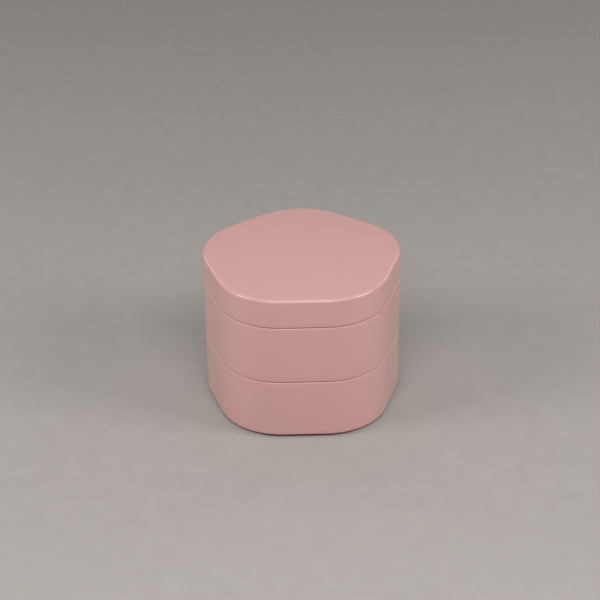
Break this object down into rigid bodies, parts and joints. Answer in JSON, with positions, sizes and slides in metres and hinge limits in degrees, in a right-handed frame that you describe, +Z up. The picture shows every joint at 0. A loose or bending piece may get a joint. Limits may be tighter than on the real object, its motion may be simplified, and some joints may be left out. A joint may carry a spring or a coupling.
{
  "type": "stacking box",
  "caption": "Stacking lacquer box with flush tiers and a lift-off lid, pentagonal with very large round corners, in plain satin pink lacquer.",
  "frame": {"origin": "on the surface that the box stands on, below the middle of its overall width and depth", "axes": "+Z up, +Y to the single rounded corner at the back, -Y to the flat side at the front, +X to the right seen from the front"},
  "size_m": [0.15, 0.1474, 0.1187],
  "materials": {
    "lacquered_wood": "smooth satin pink lacquer over a wooden core"
  },
  "bodies": {
    "lower_tier": {"lower_side_ring": "lacquered_wood", "lower_floor_board": "lacquered_wood", "lower_foot_ring": "lacquered_wood"},
    "upper_tier": {"upper_side_ring": "lacquered_wood", "upper_floor_board": "lacquered_wood", "upper_foot_ring": "lacquered_wood"},
    "lid": {"lid_top_board": "lacquered_wood", "lid_side_ring": "lacquered_wood", "lid_lip_ring": "lacquered_wood"}
  },
  "joints": [
    {"name": "upper_tier_lift", "type": "slide", "parent": "lower_tier", "child": "upper_tier", "axis": [0, 0, 1], "range_m": [0, 0.1]},
    {"name": "lid_lift", "type": "slide", "parent": "upper_tier", "child": "lid", "axis": [0, 0, 1], "range_m": [0, 0.1]}
  ]
}
